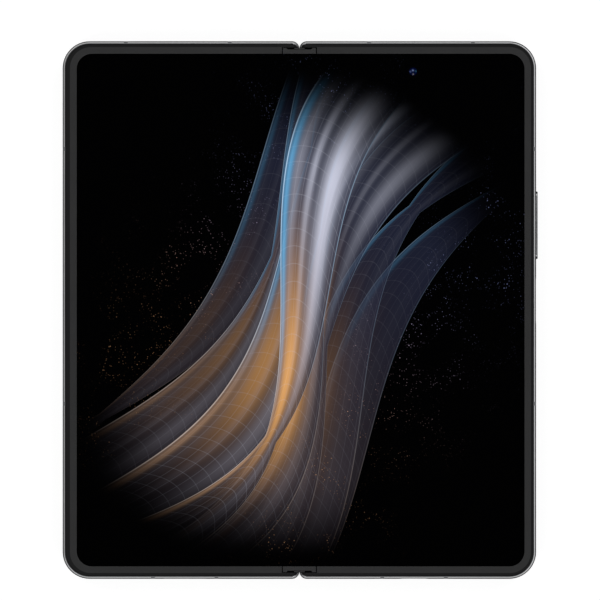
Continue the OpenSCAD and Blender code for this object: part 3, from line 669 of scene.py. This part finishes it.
def bezel(name, side, slope, node):
    """The raised trim of one half: a slope up from the rail, darker as painted shade, a flat crest and a
    step to the screen.
    """
    foot = (HALF_W - RIM_W - FIT, HALF_H - RIM_W - FIT, CORNER_R - RIM_W - FIT)
    crest = (HALF_W - RIM_W - slope, HALF_H - RIM_W - SLOPE_END, CORNER_R - RIM_W - SLOPE_END)
    inner = (SCREEN_W / 2 + side * SCREEN_SHIFT, SCREEN_H / 2, SCREEN_R)
    rise = BEZEL_TOP - LEDGE - 0.2
    section = [(foot, LEDGE), (foot, LEDGE + 0.17), (mix(foot, crest, 0.05), LEDGE + 0.23)]
    section += [(mix(foot, crest, t), LEDGE + 0.2 + rise * t) for t in (0.2, 0.5, 0.8, 0.92)]
    shaded_rows = len(section)
    section += [
        (mix(crest, inner, 0.02), BEZEL_TOP - 0.012), (mix(crest, inner, 0.08), BEZEL_TOP),
        (mix(crest, inner, 0.88), BEZEL_TOP), (mix(crest, inner, 0.96), BEZEL_TOP - 0.025),
        (inner, BEZEL_TOP - 0.09), (inner, SCREEN_TOP + 0.004),
    ]
    rows = [rail_outline(SLIT_OUT, *outline, z) for outline, z in section]
    points, faces = loft(rows)
    count = len(rows[0])
    # The rows of the slope take the copy darkened as painted shade; the crest and the step take the bezel's
    # own plastic.
    slots = [0 if place < shaded_rows else 1 for place in range(len(rows) - 1) for _ in range(count - 1)]
    faces += strip((len(rows) - 1) * count, count, 0)
    faces += [tuple(place * count + end for place in range(len(rows))) for end in (0, count - 1)]
    slots += [0] * (count + 1)
    points, faces, slots = joined((points, faces, slots), bezel_tip(1), bezel_tip(-1))
    made = build(name, on_side(points, side), faces, (SHADED_SLOPE, SURFACES["bezel_plastic"]), slots, 30.0)
    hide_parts(node)
    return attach(made, "right_half" if side > 0 else "left_half")


bezel("bezel_right", 1, SLOPE_RIGHT, "right_bezel")
bezel("bezel_left", -1, SLOPE_LEFT, "left_bezel")


def map_screen(obj):
    """Gives each point its share of the screen's width and height."""
    layer = obj.data.uv_layers.new(name="UVMap")
    left = SCREEN_SHIFT - SCREEN_W / 2
    for loop in obj.data.loops:
        place = obj.data.vertices[loop.vertex_index].co / MM
        layer.data[loop.index].uv = ((place.x - left) / SCREEN_W, place.y / SCREEN_H + 0.5)


def circle(cx, cy, r, steps):
    return [
        (cx + r * math.cos(2 * math.pi * i / steps), cy + r * math.sin(2 * math.pi * i / steps))
        for i in range(steps)
    ]


def rigid_screen(name, side, hole, node):
    """The flat stretch of the screen on one half, with its camera hole where it has one."""
    edge_x = SCREEN_W / 2 + side * SCREEN_SHIFT
    outline = rail_outline(BEND_REACH, edge_x + PANEL_HIDE, SCREEN_H / 2 + PANEL_HIDE, PANEL_R, 0.0)
    loops = [[(x, y) for x, y, _ in outline]]
    if hole:
        loops.append(circle(*CAMERA_AT, CAMERA_HOLE_R, 40))
    flat = [place for ring in loops for place in ring]
    triangles = tessellate_polygon([[Vector((x, y, 0.0)) for x, y in ring] for ring in loops])
    total = len(flat)
    points = [(x, y, SCREEN_TOP) for x, y in flat] + [(x, y, PANEL_BOTTOM) for x, y in flat]
    faces, slots = [], []
    for a, b, c in triangles:
        faces += [(a, b, c), (a + total, b + total, c + total)]
        slots += [0, 1]
    start = 0
    for ring in loops:
        count = len(ring)
        faces += strip(start, count, start + total, closed=True)
        slots += [1] * count
        start += count
    made = build(name, on_side(points, side), faces, (LIT, SURFACES["screen_film"]), slots, 30.0)
    map_screen(made)
    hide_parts(node)
    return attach(made, "right_half" if side > 0 else "left_half")


rigid_screen("screen_right", 1, True, "display_right")
rigid_screen("screen_left", -1, False, "display_left")


def bend_rows(reach, section, columns=36):
    """The section at each place from the fold outwards."""
    places = [reach * i / columns for i in range(columns + 1)]
    return [[(x, y, z) for y, z in section(x)] for x in places]


def bending(name, side, shape, surfaces, slots, slot, *replaced):
    """A piece from the spine to one half across the fold, built flat as it lies at rest."""
    points, faces = shape
    made = build(name, on_side(points, side), faces, surfaces, slots, 40.0)
    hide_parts(*replaced)
    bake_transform(made)
    return made


def screen_section(_):
    """The bending stretch, whose first two sides of five are lit."""
    end = SCREEN_H / 2 + PANEL_HIDE
    lit_side = ((-end, SCREEN_TOP), (0.0, SCREEN_TOP), (end, SCREEN_TOP))
    return lit_side + ((end, PANEL_BOTTOM), (-end, PANEL_BOTTOM))


for side, word in ((1, "right"), (-1, "left")):
    skin = loft(bend_rows(BEND_REACH, screen_section), closed=True)
    lit = [0 if place % 5 < 2 else 1 for place in range(len(skin[1]))]
    both = (LIT, SURFACES["screen_film"])
    map_screen(bending(f"screen_bend_{word}", side, skin, both, lit, "screen_film", "display_bend"))


def cap_section(sign):
    """A trim cap, which steps out past the tongue to meet the tip of the bezel."""
    def section(x):
        low = SCREEN_H / 2
        high = CAP_EDGE + EAR_W * min(1.0, max(0.0, (x - EAR_X) / 0.25))
        floor = SCREEN_TOP + 0.006
        shape = (
            (low, floor), (low, BEZEL_TOP - 0.10), (low + 0.05, BEZEL_TOP - 0.03),
            (low + 0.16, BEZEL_TOP), (high - 0.20, BEZEL_TOP),
            (high - 0.06, BEZEL_TOP - 0.04), (high, BEZEL_TOP - 0.14), (high, floor),
        )
        return [(sign * y, z) for y, z in shape]
    return section


def tongue_section(sign):
    """The tongue before the middle of a cap, behind a narrow groove."""
    def section(x):
        shut = 0.06 * max(0.0, (x - TONGUE_X + 0.3) / 0.3)
        low, high = CAP_EDGE + GROOVE_W + shut, CAP_EDGE + EAR_W - shut
        floor = SCREEN_TOP + 0.006
        shape = (
            (CAP_EDGE - 0.1, floor), (CAP_EDGE - 0.1, BEZEL_TOP - 0.30), (low, BEZEL_TOP - 0.30),
            (low, BEZEL_TOP - 0.07), (low + 0.04, BEZEL_TOP - 0.015),
            (high - 0.06, BEZEL_TOP - 0.01), (high, BEZEL_TOP - 0.08), (high, floor),
        )
        return [(sign * y, z) for y, z in shape]
    return section


def capped(rows):
    skin, quads = loft(rows, closed=True)
    return skin, quads + end_caps(rows), 0


for sign, edge in ((1, "top"), (-1, "bottom")):
    for side, word in ((1, "right"), (-1, "left")):
        cap = capped(bend_rows(SLIT_IN, cap_section(sign), 26))
        tongue = capped(bend_rows(TONGUE_X, tongue_section(sign), 16))
        shape = joined(cap, tongue)[:2]
        bending(f"trim_cap_{edge}_{word}", side, shape, (CAP,), None, "bezel_plastic", f"trim_cap_{edge}")


def cable_shape():
    parts = []
    low, high = CABLE_Z
    for y in CABLE_YS:
        start, end = y - CABLE_HALF, y + CABLE_HALF
        section = ((start, low), (start, high), (end, high), (end, low))
        parts.append((*loft(bend_rows(BEND_REACH, lambda _: section, 18), closed=True), 0))
    return joined(*parts)[:2]


for side, word in ((1, "right"), (-1, "left")):
    film = (SURFACES["flex_film"],)
    bending(f"flex_cables_{word}", side, cable_shape(), film, None, "flex_film", "hinge_flex_cables")


def lathe(profile, cx, cy, steps=56):
    """Turns a profile of radius and height about an upright axis; radius 0 closes it."""
    rows = [[(x, y, z) for x, y in circle(cx, cy, max(r, 0.001), steps)] for r, z in profile]
    return loft(rows, closed=True)


def pill(x, y, length, height, steps=10):
    """Outline of a pill on the side rail, at one place across it."""
    r = height / 2
    row = []
    for end, start in ((1, -math.pi / 2), (-1, math.pi / 2)):
        for i in range(steps + 1):
            angle = start + math.pi * i / steps
            row.append((x, y + end * (length / 2 - r) + r * math.cos(angle), KEY_Z + r * math.sin(angle)))
    return row


def key_part(name, y, rows, surface, slot, body, *replaced):
    """A rounded key from rows of place across the rail, length and height."""
    outlines = [pill(x, y, length, height) for x, length, height in rows]
    points, faces = loft(outlines, closed=True)
    made = build(name, points, faces + end_caps(outlines), (surface,), None, 30.0)
    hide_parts(*replaced)
    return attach(made, body)


def key_rows(length, face_x):
    flange = (length + 2.4, KEY_H + 0.5)
    return [
        (FLANGE_XS[0], *flange), (FLANGE_XS[1], *flange), (FLANGE_XS[1] + 0.01, length, KEY_H),
        (face_x - 0.20, length, KEY_H), (face_x - 0.10, length - 0.07, KEY_H - 0.07),
        (face_x - 0.03, length - 0.22, KEY_H - 0.22), (face_x, length - 0.5, KEY_H - 0.5),
    ]


key_part(
    "volume_key", ROCKER_Y, key_rows(ROCKER_L, ROCKER_FACE), ROCKER,
    "key_metal", "volume_rocker", "volume_rocker"
)
recess = [(POWER_FACE, SENSOR_L + 0.06, SENSOR_H + 0.02), (POWER_FACE - 0.07, SENSOR_L + 0.04, SENSOR_H)]
key_part(
    "power_key_shell", POWER_Y, key_rows(POWER_L, POWER_FACE) + recess, SURFACES["key_metal"],
    "key_metal", "power_key", "power_key"
)
pane = [
    (POWER_FACE - 0.25, SENSOR_L, SENSOR_H), (POWER_FACE - 0.075, SENSOR_L, SENSOR_H),
    (POWER_FACE - 0.05, SENSOR_L - 0.1, SENSOR_H - 0.1),
]
key_part(
    "finger_sensor", POWER_Y, pane, SURFACES["sensor_glass"],
    "sensor_glass", "power_key", "fingerprint_sensor"
)


def turned(name, places, profile, surfaces, zones, slot, body, *replaced):
    """A lathed piece at each place; zones gives the surface of each stretch of the profile."""
    shapes = []
    for x, y in places:
        points, faces = lathe(profile, x, y)
        steps = len(faces) // (len(profile) - 1)
        shapes.append((points, faces, [zone for zone in zones for _ in range(steps)]))
    points, faces, slots = joined(*shapes)
    made = build(name, points, faces, surfaces, slots, 34.0)
    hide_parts(*replaced)
    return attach(made, body)


turned(
    "inner_camera_glass", [CAMERA_AT],
    [(0, WINDOW_TOP - 0.325), (1.88, WINDOW_TOP - 0.325), (1.88, WINDOW_TOP), (1.21, WINDOW_TOP),
     (1.20, WINDOW_TOP - 0.035), (1.14, WINDOW_TOP - 0.035), (0.98, WINDOW_TOP - 0.025),
     (0.72, WINDOW_TOP - 0.013), (0.4, WINDOW_TOP - 0.003), (0, WINDOW_TOP)],
    (SURFACES["screen_film"], SELFIE), [0, 0, 0, 0, 0, 1, 1, 1, 1], "lens_glass", "right_half",
    "inner_camera_window"
)
LENSES = [(ISLAND_X, y) for y in LENS_YS]
turned(
    "lens_windows", LENSES, [(0, 0.90), (5.08, 0.90), (5.08, 0.36), (5.02, 0.30), (0, 0.30)],
    (WINDOW,), [0, 0, 0, 0], "lens_glass", "right_half", "camera_lenses"
)
turned(
    "lens_barrels", LENSES,
    [(0, 6.4), (5.1, 6.4), (5.1, 2.9), (4.4, 2.9), (4.4, 1.15), (5.02, 1.15), (5.02, 0.93), (3.9, 0.93),
     (3.8, 1.0), (3.56, 1.2), (3.5, 1.2), (3.22, 1.45), (3.16, 1.45), (2.9, 1.7), (2.5, 1.75), (2.36, 1.84),
     (2.0, 1.70), (1.5, 1.56), (0.8, 1.45), (0, 1.42)],
    (SURFACES["black_plastic"], LENS), [0] * 15 + [1] * 4, "black_plastic", "right_half", "camera_modules"
)


# ---- stage ----

def shader(tree, kind, **inputs):
    made = tree.nodes.new(kind)
    for name, value in inputs.items():
        made.inputs[name].default_value = value
    return made


def paper_floor():
    """White paper that keeps the shadow, and is only there for a camera above it."""
    end = 2000
    corners = [(-end, -end, 0), (end, -end, 0), (end, end, 0), (-end, end, 0)]
    floor = build("floor", corners, [(0, 1, 2, 3)], ())
    material = bpy.data.materials.new("floor_paper")
    material.use_nodes = True
    tree = material.node_tree
    tree.nodes.clear()
    paper = shader(tree, "ShaderNodeBsdfDiffuse", Color=(FLOOR_TONE, FLOOR_TONE, FLOOR_TONE, 1.0))
    glow = tree.nodes.new("ShaderNodeEmission")
    open_sky = shader(tree, "ShaderNodeAmbientOcclusion", Distance=0.012)
    lit = Value(tree, open_sky.outputs["AO"]).ramp(0.20, 0.44) * FLOOR_GLOW
    tree.links.new(lit.socket, glow.inputs["Strength"])
    both = shader(tree, "ShaderNodeAddShader")
    clear = shader(tree, "ShaderNodeBsdfTransparent")
    choice = shader(tree, "ShaderNodeMixShader")
    result = shader(tree, "ShaderNodeOutputMaterial")
    ray = tree.nodes.new("ShaderNodeLightPath")
    facing = tree.nodes.new("ShaderNodeNewGeometry")
    seen = Value(tree, ray.outputs["Is Camera Ray"]) * (1.0 - Value(tree, facing.outputs["Backfacing"]))
    tree.links.new(paper.outputs[0], both.inputs[0])
    tree.links.new(glow.outputs[0], both.inputs[1])
    tree.links.new(seen.socket, choice.inputs[0])
    tree.links.new(clear.outputs[0], choice.inputs[1])
    tree.links.new(both.outputs[0], choice.inputs[2])
    tree.links.new(choice.outputs[0], result.inputs["Surface"])
    floor.data.materials.append(material)


def studio_world():
    """Plain light for the object, and a white backdrop for the camera, metal and glass.

    What mirrors sees the backdrop beside it, its own shade straight below and a dark ceiling above.
    """
    world = bpy.data.worlds.new("studio")
    bpy.context.scene.world = world
    world.use_nodes = True
    tree = world.node_tree
    back = next(n for n in tree.nodes if n.type == "BACKGROUND")
    ray = tree.nodes.new("ShaderNodeLightPath")
    place = tree.nodes.new("ShaderNodeTexCoord")
    split = tree.nodes.new("ShaderNodeSeparateXYZ")
    tree.links.new(place.outputs["Generated"], split.inputs[0])
    height = Value(tree, split.outputs["Z"])
    plain = height.above(0.0) * (ROOM_ABOVE - ROOM_BELOW) + ROOM_BELOW
    side_light = Value(tree, split.outputs["X"]).ramp(-0.9, 0.2, 0.62, 1.0)
    backdrop = height.ramp(0.04, 0.86, 1.0, 0.0) * height.ramp(-0.66, 0.06, 0.04, 1.0) * side_light
    camera = Value(tree, ray.outputs["Is Camera Ray"])
    through = Value(tree, ray.outputs["Is Transmission Ray"])
    mirrored = Value(tree, ray.outputs["Is Glossy Ray"]).most(through)
    strength = camera + (1.0 - camera) * (mirrored * backdrop + (1.0 - mirrored) * plain)
    tree.links.new(strength.socket, back.inputs["Strength"])
    back.inputs["Color"].default_value = (1.0, 1.0, 1.0, 1.0)


def softbox(name, azimuth):
    lamp = bpy.data.lights.new(name, "AREA")
    lamp.shape = "RECTANGLE"
    lamp.size, lamp.size_y = SOFTBOX_SIZE
    lamp.energy = SOFTBOX_WATTS
    made = bpy.data.objects.new(name, lamp)
    a, e = math.radians(azimuth), math.radians(SOFTBOX_ELEVATION)
    way = Vector((math.sin(a) * math.cos(e), -math.cos(a) * math.cos(e), math.sin(e)))
    place = way * SOFTBOX_DISTANCE
    made.location = place
    made.rotation_euler = (-place).to_track_quat("-Z", "Y").to_euler()
    bpy.context.scene.collection.objects.link(made)


paper_floor()
studio_world()
for azimuth in (45, 135, 225, 315):
    softbox(f"softbox_{azimuth}", azimuth)

lens = bpy.data.cameras.new("camera")
lens.lens = 1000.0
lens.sensor_width = 36.0
lens.clip_start, lens.clip_end = 0.05, 20.0
camera = bpy.data.objects.new("camera", lens)
camera.location = (AIM[0], AIM[1], AIM[2] + SEEN_WIDTH * lens.lens / lens.sensor_width)
bpy.context.scene.collection.objects.link(camera)
bpy.context.scene.camera = camera
bpy.context.scene.view_settings.view_transform = "Standard"
